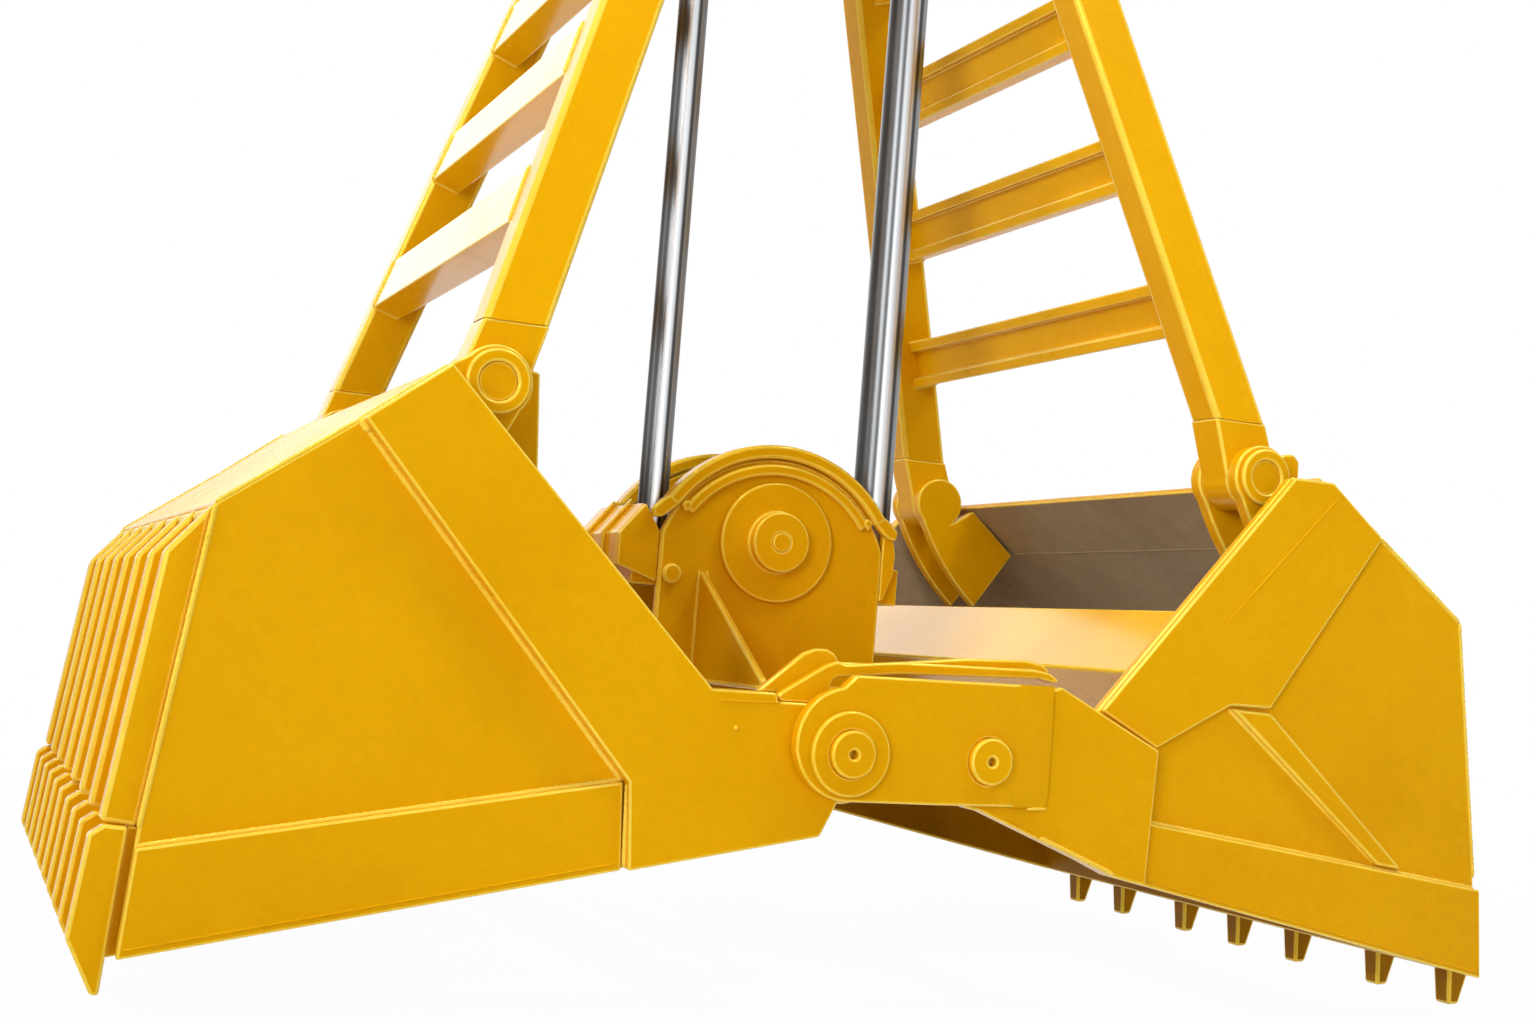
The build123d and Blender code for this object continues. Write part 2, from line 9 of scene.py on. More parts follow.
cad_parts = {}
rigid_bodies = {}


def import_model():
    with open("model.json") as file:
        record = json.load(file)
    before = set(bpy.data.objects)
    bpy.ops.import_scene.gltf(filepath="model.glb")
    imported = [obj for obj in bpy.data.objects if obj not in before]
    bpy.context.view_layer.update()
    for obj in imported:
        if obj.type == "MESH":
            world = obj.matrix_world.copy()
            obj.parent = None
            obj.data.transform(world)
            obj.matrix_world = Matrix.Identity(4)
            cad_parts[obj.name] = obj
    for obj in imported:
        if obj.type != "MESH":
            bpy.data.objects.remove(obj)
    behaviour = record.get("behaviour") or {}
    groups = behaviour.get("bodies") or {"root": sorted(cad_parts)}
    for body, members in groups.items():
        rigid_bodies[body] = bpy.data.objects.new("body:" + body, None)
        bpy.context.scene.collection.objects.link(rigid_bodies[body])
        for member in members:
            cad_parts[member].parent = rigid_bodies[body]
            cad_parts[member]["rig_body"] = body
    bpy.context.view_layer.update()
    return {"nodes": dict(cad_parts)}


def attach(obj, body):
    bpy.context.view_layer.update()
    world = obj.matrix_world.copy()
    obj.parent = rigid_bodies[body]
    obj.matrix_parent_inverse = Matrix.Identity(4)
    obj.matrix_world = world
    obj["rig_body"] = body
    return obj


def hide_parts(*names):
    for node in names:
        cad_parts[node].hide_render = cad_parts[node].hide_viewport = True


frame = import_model()
nodes = frame["nodes"]

# Points are written in millimetres from the hinge axes, as the part is drawn, with Z up.
HANG = 2389.0           # height of the suspension lug's bore over the hinge axes
LEFT, RIGHT = -1.0, 1.0
SIDE = 750.0            # outer face of a shell's side plate
HINGE_FACE = 782.0      # outer face of a hinge cheek
BAND_FACE = 766.0       # outer face of a mouth band
EDGE_FACE = 764.0       # outer face of the right shell's edge band
TOP_FRONT = (785.0, 527.0)
TOP_BEND = (910.0, 430.0)
TOP_BACK = (1095.0, 295.0)
LIP_TOP = (1156.5, -160.0)
LIP_END = (1170.0, -337.0)
MOUTH_SLOPE = math.tan(math.radians(11.39))
INNER_RIM = 150.0       # height of the rim with painted shade inside a mouth
CROSS_ENDS = [(419, 159), (532, 273), (610, 195), (497, 82)]
LINK_TIP = -213.0       # round end of a hinge link
ARM_FOOT = (663.2, 619.0)
ARM_HEAD = (281.8, 1819.0)
ARM_WIDE = 104.9
ARM_FOOT_Y = 618.0
ARM_HEAD_Y = 340.0
ARM_HALF = 40.0
RUNGS = [311.0, 581.0, 851.0, 1121.0]
RUNG_FOOT = (695.0, 519.0)
RUNG_LEAN = 445.0 / 1400.0
RUNG_SEAM = [(-52, -12), (-52, 50), (52, 50), (52, -12)]
BLOCK_FACE = 145.0
BLOCK_FOOT = 84.0
GUSSET_FACES = [-146.0, -130.0]
GUSSET_TOP = 286.0
GUSSET_END = 480.0

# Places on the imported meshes, in metres
RODS_X, RODS_Y = 0.225, -0.080
LINK_END = 0.175        # where a hinge link's thin end begins
RING_FOOT = 0.7822      # just outside the foot of the ring round a hinge pin
TUBE_EDGE = 0.3         # edges longer than this run along a box tube
SAME_POINT = 0.00002
STEP_SIZE = 0.002

FLAT = math.radians(0.6)
SHARP = math.radians(32.0)
ROD_TWIST = 0.117       # turn of the painted reflection stripes on the right rod, in radians

# Camera
CAMERA_PLACE = (-1446.0, -3643.0, 150.0)
CAMERA_TURN = 22.205
CAMERA_PITCH = 3.881
CAMERA_ROLL = 4.46
CAMERA_LENS = 47.34

FLOOR_Z = -416.0
FLOOR_REACH = 60.0


def at(x, y, z):
    """A point of the drawing, as a place in the scene."""
    return Vector((x / 1000.0, y / 1000.0, (z - HANG) / 1000.0))


def mouth(x):
    """Height of a shell's lower edge."""
    return LIP_END[1] + (LIP_END[0] - x) * MOUTH_SLOPE


# Materials

# Dull, middle and bright tones of the paints
YELLOW_TONES = [(0.755, 0.358, 0.0012), (0.800, 0.392, 0.0014), (0.830, 0.412, 0.0018)]
# Lighter copies of the yellow for top plates, rungs and cross beams: painted light
LIT_TONES = [(0.840, 0.425, 0.0014), (0.880, 0.460, 0.0016), (0.910, 0.480, 0.0020)]
# Darker yellow for the teeth and the inner faces near the mouths: painted shade
SHADE_TONES = [(0.312, 0.128, 0.0016), (0.367, 0.154, 0.0020), (0.437, 0.188, 0.0027)]
# Lighter tones for rounded edges and weld beads: painted highlights
EDGE_HIGHLIGHT_TONES = [(0.90, 0.54, 0.030), (0.94, 0.62, 0.055), (0.97, 0.69, 0.090)]
INTERIOR_TONES = [(0.347, 0.263, 0.167), (0.405, 0.312, 0.203), (0.448, 0.348, 0.230)]
# Painted reflections: bright and dark stripes around a guide rod that stand in for its mirrored
# surroundings: share of a turn, counted from the back, and brightness
ROD_REFLECTION_BANDS = [
    (0.00, 0.10), (0.07, 0.60), (0.14, 0.10), (0.30, 0.10), (0.328, 0.27), (0.360, 0.12),
    (0.415, 0.13), (0.434, 0.82), (0.506, 0.80), (0.525, 0.09), (0.552, 0.09), (0.565, 0.32),
    (0.640, 0.28), (0.690, 0.09), (0.760, 0.62), (0.840, 0.10),
]


def new_material(name):
    """A material, its node tree, its shader and the object's own coordinates."""
    material = bpy.data.materials.new(name)
    material.use_nodes = True
    tree = material.node_tree
    shader = tree.nodes["Principled BSDF"]
    place = tree.nodes.new("ShaderNodeTexCoord")
    return material, tree, shader, place.outputs["Object"]


def noise(tree, place, scale, detail=4.0, roughness=0.5):
    node = tree.nodes.new("ShaderNodeTexNoise")
    node.inputs["Scale"].default_value = scale
    node.inputs["Detail"].default_value = detail
    node.inputs["Roughness"].default_value = roughness
    tree.links.new(place, node.inputs["Vector"])
    return node.outputs["Fac"]


def ramp(tree, factor, stops):
    """Colours at positions along a factor."""
    node = tree.nodes.new("ShaderNodeValToRGB")
    elements = node.color_ramp.elements
    while len(elements) < len(stops):
        elements.new(0.5)
    for element, (position, colour) in zip(elements, stops):
        element.position = position
        element.color = (*colour, 1.0)
    tree.links.new(factor, node.inputs["Fac"])
    return node.outputs["Color"]


def grey(value):
    return (value, value, value)


def multiply(tree, factor, first, second):
    node = tree.nodes.new("ShaderNodeMix")
    node.data_type = "RGBA"
    node.blend_type = "MULTIPLY"
    node.inputs[0].default_value = factor
    tree.links.new(first, node.inputs[6])
    tree.links.new(second, node.inputs[7])
    return node.outputs[2]


def bump(tree, shader, layers):
    """Relief of several layers: height, strength and distance."""
    normal = None
    for height, strength, distance in layers:
        node = tree.nodes.new("ShaderNodeBump")
        node.inputs["Strength"].default_value = strength
        node.inputs["Distance"].default_value = distance
        tree.links.new(height, node.inputs["Height"])
        if normal is not None:
            tree.links.new(normal, node.inputs["Normal"])
        normal = node.outputs["Normal"]
    tree.links.new(normal, shader.inputs["Normal"])


def make_paint(name, tones, smooth, index, coat=0.0):
    """Clouded paint, from its tones, least roughness, index of refraction and share of clear coat."""
    material, tree, shader, place = new_material(name)
    clouds = ramp(tree, noise(tree, place, 2.6, 6.0, 0.62), list(zip((0.30, 0.50, 0.72), tones)))
    specks = ramp(tree, noise(tree, place, 46.0, 5.0, 0.7), [(0.30, grey(0.92)), (0.55, grey(1.0))])
    tree.links.new(multiply(tree, 0.5, clouds, specks), shader.inputs["Base Color"])
    dull = smooth + 0.09
    gloss = ramp(tree, noise(tree, place, 7.0, 4.0, 0.6), [(0.30, grey(smooth)), (0.70, grey(dull))])
    tree.links.new(gloss, shader.inputs["Roughness"])
    shader.inputs["IOR"].default_value = index
    shader.inputs["Coat Weight"].default_value = coat
    shader.inputs["Coat Roughness"].default_value = 0.12
    shader.inputs["Specular IOR Level"].default_value = 0.90
    shader.inputs["Specular Tint"].default_value = (1.0, 0.92, 0.14, 1.0)
    waves = noise(tree, place, 5.0, 3.0, 0.5)
    grain = noise(tree, place, 330.0, 2.0, 0.5)
    bump(tree, shader, [(waves, 0.08, 0.004), (grain, 0.05, 0.0006)])
    return material


def make_interior():
    """The brown, scuffed coat inside the shells."""
    material, tree, shader, place = new_material("bucket_interior")
    clouds = ramp(tree, noise(tree, place, 3.2, 7.0, 0.66), list(zip((0.28, 0.55, 0.78), INTERIOR_TONES)))
    scuffs = ramp(tree, noise(tree, place, 30.0, 6.0, 0.75), [(0.35, grey(0.80)), (0.62, grey(1.0))])
    tree.links.new(multiply(tree, 0.6, clouds, scuffs), shader.inputs["Base Color"])
    gloss = ramp(tree, noise(tree, place, 12.0, 5.0, 0.6), [(0.30, grey(0.50)), (0.70, grey(0.70))])
    tree.links.new(gloss, shader.inputs["Roughness"])
    shader.inputs["Specular IOR Level"].default_value = 0.25
    bump(tree, shader, [(noise(tree, place, 60.0, 6.0, 0.7), 0.16, 0.0015)])
    return material


def make_rod():
    """Polished metal with painted reflection stripes that run along a rod."""
    material, tree, shader, place = new_material("polished_rod")
    wrap = tree.nodes.new("ShaderNodeUVMap")
    wrap.uv_map = "around"
    axes = tree.nodes.new("ShaderNodeSeparateXYZ")
    tree.links.new(wrap.outputs["UV"], axes.inputs["Vector"])
    # painted reflections: bright and dark stripes by the turn round the rod
    reflection_bands = ramp(tree, axes.outputs["X"], [(share, grey(value)) for share, value in ROD_REFLECTION_BANDS])
    stretch = tree.nodes.new("ShaderNodeMapping")
    stretch.inputs["Scale"].default_value = (110.0, 110.0, 1.0)
    tree.links.new(place, stretch.inputs["Vector"])
    streaks = noise(tree, stretch.outputs["Vector"], 1.0, 4.0, 0.6)
    tint = ramp(tree, streaks, [(0.30, (0.76, 0.79, 0.83)), (0.62, (0.95, 0.98, 1.0))])
    tree.links.new(multiply(tree, 0.9, reflection_bands, tint), shader.inputs["Base Color"])
    gloss = ramp(tree, streaks, [(0.30, grey(0.27)), (0.70, grey(0.36))])
    tree.links.new(gloss, shader.inputs["Roughness"])
    shader.inputs["Metallic"].default_value = 1.0
    bump(tree, shader, [(streaks, 0.03, 0.0003)])
    return material


def make_metal(name, colour, low, high, streak):
    """Bare metal with drawn lines, between two roughnesses."""
    material, tree, shader, place = new_material(name)
    stretch = tree.nodes.new("ShaderNodeMapping")
    stretch.inputs["Scale"].default_value = streak
    tree.links.new(place, stretch.inputs["Vector"])
    lines = noise(tree, stretch.outputs["Vector"], 1.0, 5.0, 0.65)
    darker = tuple(channel * 0.82 for channel in colour)
    tree.links.new(ramp(tree, lines, [(0.32, darker), (0.66, colour)]), shader.inputs["Base Color"])
    gloss = ramp(tree, lines, [(0.30, grey(low)), (0.72, grey(high))])
    tree.links.new(gloss, shader.inputs["Roughness"])
    shader.inputs["Metallic"].default_value = 1.0
    bump(tree, shader, [(lines, 0.03, 0.0003)])
    return material


paint = make_paint("yellow_paint", YELLOW_TONES, 0.20, 1.17)
# lighter copies of the yellow paint: painted light on the top plates, rungs and cross beams; the second one
# also has a clear coat
lit_paint = make_paint("lit_yellow_paint", LIT_TONES, 0.24, 1.10)
lit_coated_paint = make_paint("lit_coated_yellow_paint", LIT_TONES, 0.20, 1.17, 0.5)
# painted shade on the teeth and inside the mouths
shade_paint = make_paint("shade_painted_yellow", SHADE_TONES, 0.30, 1.17)
# painted highlights on rounded edges and weld beads
edge_highlight_paint = make_paint("painted_edge_highlights", EDGE_HIGHLIGHT_TONES, 0.11, 1.50)
interior = make_interior()
chrome = make_rod()
steel = make_metal("bare_steel", (0.46, 0.45, 0.43), 0.28, 0.42, (120.0, 6.0, 120.0))
iron = make_metal("cast_iron", (0.19, 0.18, 0.17), 0.42, 0.60, (40.0, 40.0, 40.0))


# Pieces


def add_piece(name, mesh, body):
    """An object for a mesh that rides a body."""
    piece = bpy.data.objects.new(name, mesh)
    bpy.context.scene.collection.objects.link(piece)
    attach(piece, body)
    return piece


def soften(piece, width, segments, rim=-1, limit="ANGLE"):
    """Round a piece's edges, and coat them with its material number rim, the one with painted highlights.
    """
    edges = piece.modifiers.new("edges", "BEVEL")
    edges.material = rim
    edges.width = width
    edges.segments = segments
    edges.limit_method = limit
    edges.angle_limit = SHARP
    edges.use_clamp_overlap = False
    edges.miter_outer = "MITER_ARC"
    normals = piece.modifiers.new("normals", "WEIGHTED_NORMAL")
    normals.keep_sharp = True


def part_solids(shape):
    """Give each solid its own corners where two solids of a node touch in a point."""
    seen = set()
    groups = []
    for first in shape.faces:
        if first in seen:
            continue
        seen.add(first)
        group = [first]
        for face in group:
            for edge in face.edges:
                for other in edge.link_faces:
                    if other not in seen:
                        seen.add(other)
                        group.append(other)
        groups.append(group)
    for group in groups[1:]:
        bmesh.ops.split(shape, geom=group)


def split(shape, place, normal):
    """Cut the faces along a plane and keep both sides."""
    everything = shape.verts[:] + shape.edges[:] + shape.faces[:]
    bmesh.ops.bisect_plane(shape, geom=everything, plane_co=place, plane_no=normal)


def mark_edges(shape, plain):
    """Mark the sharp outer edges to round, all but the plain ones."""
    marks = shape.edges.layers.float.new("bevel_weight_edge")
    for edge in shape.edges:
        edge[marks] = float(edge.is_manifold and edge.calc_face_angle_signed() > SHARP and not plain(edge))


def on_ring(edge):
    """An edge of the low ring round a hinge pin."""
    return any(abs(face.calc_center_median().y) > RING_FOOT for face in edge.link_faces)


def on_tube_end(edge):
    """An edge of the open end of a box tube."""
    return edge.calc_length() < TUBE_EDGE


def on_thin_end(edge):
    """An edge of a hinge link's thin end."""
    return all(vert.co.x > LINK_END - SAME_POINT for vert in edge.verts)


def trim_links(shape):
    """Part the thin end from the rest and take out the tiny step where the round end begins."""
    split(shape, Vector((LINK_END, 0.0, 0.0)), Vector((1.0, 0.0, 0.0)))
    tip = at(LINK_TIP, 0.0, 0.0)
    for vert in shape.verts:
        if abs(vert.co.x - tip.x) < STEP_SIZE and abs(vert.co.z - tip.z) < STEP_SIZE:
            vert.co.x = tip.x
            vert.co.z = tip.z
    bmesh.ops.remove_doubles(shape, verts=shape.verts, dist=SAME_POINT)


def cut_at_mouth(shape, side):
    """Split the plates along a line above the mouth; below it the inside has painted shade."""
    place = at(side * LIP_END[0], 0.0, LIP_END[1] + INNER_RIM)
    split(shape, place, Vector((side * MOUTH_SLOPE, 0.0, 1.0)))


def above_rim(centre, side):
    """Whether a point lies above the rim of painted shade inside a mouth."""
    height = centre.z - at(0, 0, LIP_END[1] + INNER_RIM).z
    return height > (LIP_END[0] / 1000.0 - side * centre.x) * MOUTH_SLOPE


# Numbers of the materials on a plate of a shell: outside, brown inside, and painted shade inside near the
# mouth
OUTSIDE, INSIDE, RIM = 0, 1, 2


def inner_plate(side):
    """For a top or back plate: which material a face has."""

    def picks(centre, normal):
        faces_middle = side * normal.x < -0.3 and normal.z < 0.3
        faces_down = side * normal.x < 0.2 and normal.z < -0.5
        return INSIDE if faces_middle or faces_down else OUTSIDE

    return picks


def inner_lip(side):
    """For a lip: which material a face has; the inner face gets painted shade."""

    def picks(centre, normal):
        return RIM if side * normal.x < -0.3 else OUTSIDE

    return picks


def inner_side(side):
    """For a side plate: which material a face has; inner faces below the rim get painted shade."""

    def picks(centre, normal):
        if normal.y * centre.y > -0.5 * abs(centre.y):
            return OUTSIDE
        return INSIDE if above_rim(centre, side) else RIM

    return picks


# Plates with a brown inside, and painted shade inside near the mouth
INSIDES = {
    "left_side_plates": (LEFT, inner_side(LEFT)),
    "right_side_plates": (RIGHT, inner_side(RIGHT)),
    "left_top_plate": (LEFT, inner_plate(LEFT)),
    "right_top_plate": (RIGHT, inner_plate(RIGHT)),
    "left_back_plate": (LEFT, inner_plate(LEFT)),
    "right_back_plate": (RIGHT, inner_plate(RIGHT)),
    "left_lip": (LEFT, inner_lip(LEFT)),
    "right_lip": (RIGHT, inner_lip(RIGHT)),
}
# Coats of the pieces that don't have the plain yellow paint: lighter copies of the yellow that paint light
# on top plates, rungs and cross beams, and a darker one that paints shade on the teeth
COATS = {
    "left_top_plate": lit_paint,
    "right_top_plate": lit_paint,
    "right_rungs": lit_paint,
    "left_rungs": lit_coated_paint,
    "left_cross_beam": lit_coated_paint,
    "right_cross_beam": lit_coated_paint,
    "right_teeth": shade_paint,
}
METALS = {
    "guide_rods": chrome,
    "rod_collars": steel,
    "guide_bushes": steel,
    "upper_axle": steel,
    "left_arm_top_pins": steel,
    "right_arm_top_pins": steel,
    "upper_sheaves": iron,
    "lower_sheaves": iron,
}
# Width of the rounded edges, in metres, and its steps
EDGES = {
    "left_arm_boxes": (0.010, 4),
    "right_arm_boxes": (0.010, 4),
    "left_arm_eyes": (0.005, 3),
    "right_arm_eyes": (0.005, 3),
    "left_ears": (0.004, 3),
    "right_ears": (0.004, 3),
    "left_ear_rings": (0.0045, 3),
    "right_ear_rings": (0.0045, 3),
    "left_ear_pins": (0.003, 2),
    "right_ear_pins": (0.003, 2),
    "hinge_links": (0.004, 3),
    "hinge_pins": (0.004, 3),
    "block_cheeks": (0.006, 3),
    "bearing_discs": (0.004, 3),
    "sheave_guards": (0.007, 3),
    "guard_rims": (0.006, 3),
    "side_guards": (0.003, 3),
    "block_gussets": (0.005, 3),
    "block_bolts": (0.006, 3),
    "opening_straps": (0.004, 3),
    "left_back_ribs": (0.007, 3),
    "right_back_ribs": (0.007, 3),
    "left_lip_bars": (0.005, 3),
    "right_teeth": (0.006, 3),
    "left_hinge_cheeks": (0.004, 3),
    "right_hinge_plates": (0.004, 3),
    "left_mouth_bands": (0.004, 3),
    "right_mouth_bands": (0.004, 3),
    "right_edge_bands": (0.004, 3),
    "right_diagonal_strips": (0.005, 3),
    "left_side_plates": (0.005, 3),
    "right_side_plates": (0.005, 3),
    "left_cross_beam": (0.006, 3),
    "right_cross_beam": (0.006, 3),
}
PLAIN_ROUNDING = (0.003, 2)
# Edges that stay sharp
PLAIN_EDGES = {
    "hinge_links": on_thin_end,
    "left_arm_boxes": on_tube_end,
    "right_arm_boxes": on_tube_end,
    "left_cross_beam": on_tube_end,
    "right_cross_beam": on_tube_end,
    "left_hinge_cheeks": on_ring,
    "right_hinge_plates": on_ring,
}


def wrap_rods(shape):
    """Lay the texture of the painted reflection stripes round each guide rod: across is the share of a turn
    from the back, up is the height.
    """
    layer = shape.loops.layers.uv.new("around")
    for face in shape.faces:
        centre = face.calc_center_median()
        axis = math.copysign(RODS_X, centre.x)
        middle = math.atan2(centre.x - axis, RODS_Y - centre.y)
        twist = ROD_TWIST if axis > 0.0 else 0.0
        for loop in face.loops:
            place = loop.vert.co
            angle = math.atan2(place.x - axis, RODS_Y - place.y)
            angle += 2.0 * math.pi * round((middle - angle) / (2.0 * math.pi))
            loop[layer].uv = (0.5 + (angle - twist) / (2.0 * math.pi), place.z)


def dress(node):
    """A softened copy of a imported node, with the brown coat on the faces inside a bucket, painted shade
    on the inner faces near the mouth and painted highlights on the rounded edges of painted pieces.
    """
    mesh = nodes[node].data.copy()
    mesh.name = node + "_skin"
    mesh.materials.clear()
    mesh.materials.append(COATS.get(node) or METALS.get(node, paint))
    shape = bmesh.new()
    shape.from_mesh(mesh)
    bmesh.ops.remove_doubles(shape, verts=shape.verts, dist=SAME_POINT)
    bmesh.ops.dissolve_limit(shape, angle_limit=FLAT, verts=shape.verts, edges=shape.edges)
    part_solids(shape)
    for face in shape.faces:
        face.smooth = True
        face.material_index = OUTSIDE
    if node in INSIDES:
        side, picks = INSIDES[node]
        cut_at_mouth(shape, side)
        mesh.materials.append(interior)
        # painted shade for the inner faces near the mouth
        mesh.materials.append(shade_paint)
        for face in shape.faces:
            face.material_index = picks(face.calc_center_median(), face.normal)
    # Painted pieces get painted highlights on their rounded edges
    rim = -1
    if node not in METALS:
        rim = len(mesh.materials)
        mesh.materials.append(edge_highlight_paint)
    if node == "guide_rods":
        wrap_rods(shape)
    if node == "hinge_links":
        trim_links(shape)
    if node in PLAIN_EDGES:
        mark_edges(shape, PLAIN_EDGES[node])
    shape.to_mesh(mesh)
    shape.free()
    piece = add_piece(node + "_skin", mesh, nodes[node]["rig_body"])
    limit = "WEIGHT" if node in PLAIN_EDGES else "ANGLE"
    soften(piece, *EDGES.get(node, PLAIN_ROUNDING), rim, limit)
    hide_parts(node)


for node in sorted(nodes):
    dress(node)


# Weld beads

RIPPLE = 0.0105         # length of a ripple
BEAD_STEP = 0.0035
BEAD_SIDES = 7
BEAD_TAIL = 0.008       # length over which a bead's end tapers
chance = random.Random(7)


def bead_rings(start, end, radius):
    """The rings of points along one rippled bead."""
    run = end - start
    length = run.length
    along = run.normalized()
    hint = Vector((0.0, 1.0, 0.0)) if abs(along.y) < 0.8 else Vector((1.0, 0.0, 0.0))
    across = along.cross(hint).normalized()
    over = across.cross(along)
    count = max(4, int(length / BEAD_STEP))
    for i in range(count + 1):
        distance = length * i / count
        swell = 0.80 + 0.20 * abs(math.sin(math.pi * distance / RIPPLE))
        tail = min(1.0, 0.35 + min(distance, length - distance) / BEAD_TAIL)
        size = radius / 1000.0 * swell * tail * chance.uniform(0.94, 1.06)
        centre = start + along * distance + over * chance.uniform(-0.0004, 0.0004)
        ring = []
        for j in range(BEAD_SIDES):
            angle = 2.0 * math.pi * j / BEAD_SIDES
            ring.append(centre + size * (math.cos(angle) * across + math.sin(angle) * over))
        yield ring


def add_welds(name, body, seams, material=edge_highlight_paint):
    """One mesh of rippled beads, by default in the lighter paint of the painted highlights; each seam is
    its points and a bead radius, all in millimetres.
    """
    points = []
    faces = []
    for corners, radius in seams:
        for start, end in zip(corners, corners[1:]):
            first = len(points)
            for ring in bead_rings(at(*start), at(*end), radius):
                points += ring
            rings = (len(points) - first) // BEAD_SIDES
            for i in range(rings - 1):
                low = first + i * BEAD_SIDES
                for j in range(BEAD_SIDES):
                    k = (j + 1) % BEAD_SIDES
                    faces.append((low + j, low + k, low + BEAD_SIDES + k, low + BEAD_SIDES + j))
            faces.append(tuple(range(first + BEAD_SIDES - 1, first - 1, -1)))
            faces.append(tuple(range(len(points) - BEAD_SIDES, len(points))))
    mesh = bpy.data.meshes.new(name)
    mesh.from_pydata(points, [], faces)
    mesh.materials.append(material)
    mesh.shade_smooth()
    add_piece(name, mesh, body)


def on_both_sides(outlines, side):
    """Seams on the near and far side of a shell, from points in X and Z."""
    seams = []
    for corners, y, radius in outlines:
        for wall in (-1.0, 1.0):
            seams.append(([(side * x, wall * y, z) for x, z in corners], radius))
    return seams


left_seams = [
    ([(905, 433), (466, -64)], SIDE, 6.0),
    ([(906, 435), (889, 416)], SIDE + 2, 9.0),
    ([(470, -62), (1156, -185)], SIDE, 5.5),
    ([(1094, 294), (1155, -160)], SIDE - 2, 5.0),
    ([(463, -64), (458, mouth(458) + 4)], BAND_FACE, 5.0),
    ([TOP_FRONT, TOP_BEND, TOP_BACK], SIDE - 3, 3.5),
    ([(300, 30), (306, 26)], HINGE_FACE, 6.0),
]
left_creases = [
    ([(470, mouth(470) + 12), (1163, mouth(1163) + 12)], BAND_FACE, 2.0),
    ([(330, 68), (232, 70)], HINGE_FACE, 2.0),
]
right_seams = [
    ([(905, 429), (688, 115)], SIDE, 5.0),
    ([(690, 117), (606, 118)], SIDE, 4.5),
    ([(604, 117), (462, 37)], SIDE, 5.0),
    ([(690, 107), (986, -149)], SIDE, 4.5),
    ([(608, 110), (934, -142)], SIDE, 4.5),
    ([(452, -87), (1156, -179)], SIDE, 5.0),
    ([(457, 32), (446, mouth(446) + 4)], EDGE_FACE, 5.0),
    ([(382, mouth(382) + 5), (238, -118)], HINGE_FACE, 4.5),
    ([(709, 515), (791, 515), TOP_BEND, TOP_BACK, LIP_TOP], SIDE - 3, 4.0),
]
right_creases = [
    ([(801, 489), (589, 259)], EDGE_FACE, 1.6),
    ([(456, mouth(456) + 9), (1164, mouth(1164) + 9)], BAND_FACE, 2.0),
    ([(238, -118), (170, -92)], HINGE_FACE, 1.6),
]
for seams in (left_seams, right_seams):
    seams.append((CROSS_ENDS + CROSS_ENDS[:1], SIDE - 20, 5.0))
add_welds("left_shell_welds", "left_shell", on_both_sides(left_seams, LEFT))
add_welds("right_shell_welds", "right_shell", on_both_sides(right_seams, RIGHT))
add_welds("left_shell_creases", "left_shell", on_both_sides(left_creases, LEFT), paint)
add_welds("right_shell_creases", "right_shell", on_both_sides(right_creases, RIGHT), paint)

for body, side in (("left_shell", LEFT), ("right_shell", RIGHT)):
    inner_seams = []
    for x, z in ((901.0, 419.0), (1080.0, 284.0)):
        inner_seams.append(([(side * x, -726, z), (side * x, 726, z)], 2.0))
    add_welds(body + "_inner_welds", body, inner_seams, interior)
    back_seams = []
    for x, z, radius in ((1160.0, -160.0, 5.0), (1090.5, 280.5, 9.5)):
        back_seams.append(([(side * x, -728, z), (side * x, 728, z)], radius))
    add_welds(body + "_back_welds", body, back_seams)


def arm_y(z):
    """Distance of an arm's centre line from the middle, at a height."""
    share = (z - ARM_FOOT[1]) / (ARM_HEAD[1] - ARM_FOOT[1])
    return ARM_FOOT_Y + share * (ARM_HEAD_Y - ARM_FOOT_Y)


CREASE_REACH = ARM_WIDE / 2 - 11.0
for body, side in (("left_arms", LEFT), ("right_arms", RIGHT)):
    seams = []
    creases = []
    for x, z, y in ((*ARM_FOOT, ARM_FOOT_Y), (*ARM_HEAD, ARM_HEAD_Y)):
        for wall in (-1.0, 1.0):
            for deep in (-1.0, 1.0):
                face = wall * (y + deep * ARM_HALF)
                ends = [(side * (x + run), face, z) for run in (-CREASE_REACH, CREASE_REACH)]
                creases.append((ends, 1.5))
    lean = Vector((ARM_HEAD[0] - ARM_FOOT[0], ARM_HEAD[1] - ARM_FOOT[1])).normalized()
    for rise in RUNGS:
        centre = Vector((RUNG_FOOT[0] - rise * RUNG_LEAN, RUNG_FOOT[1] + rise))
        for wall in (-1.0, 1.0):
            corners = []
            for run, out in RUNG_SEAM:
                x = centre.x + lean.x * run + lean.y * out
                z = centre.y + lean.y * run - lean.x * out
                corners.append((side * x, wall * (arm_y(z) - ARM_HALF), z))
            seams.append((corners, 4.5))
    add_welds(body + "_welds", body, seams)
    add_welds(body + "_creases", body, creases, paint)

block_seams = []
for turn in (-1.0, 1.0):
    face = turn * BLOCK_FACE
    for x in GUSSET_FACES:
        corner = (-turn * x, face, BLOCK_FOOT)
        block_seams.append(([(-turn * x, face, GUSSET_TOP), corner], 4.0))
        block_seams.append(([corner, (-turn * x, turn * GUSSET_END, BLOCK_FOOT)], 4.0))
    block_seams.append(([(-224, face, BLOCK_FOOT + 1), (224, face, BLOCK_FOOT + 1)], 4.5))
    block_seams.append(([(205, turn * 791, -73), (243, turn * 788, -71)], 2.6))
add_welds("lower_block_welds", "lower_block", block_seams)


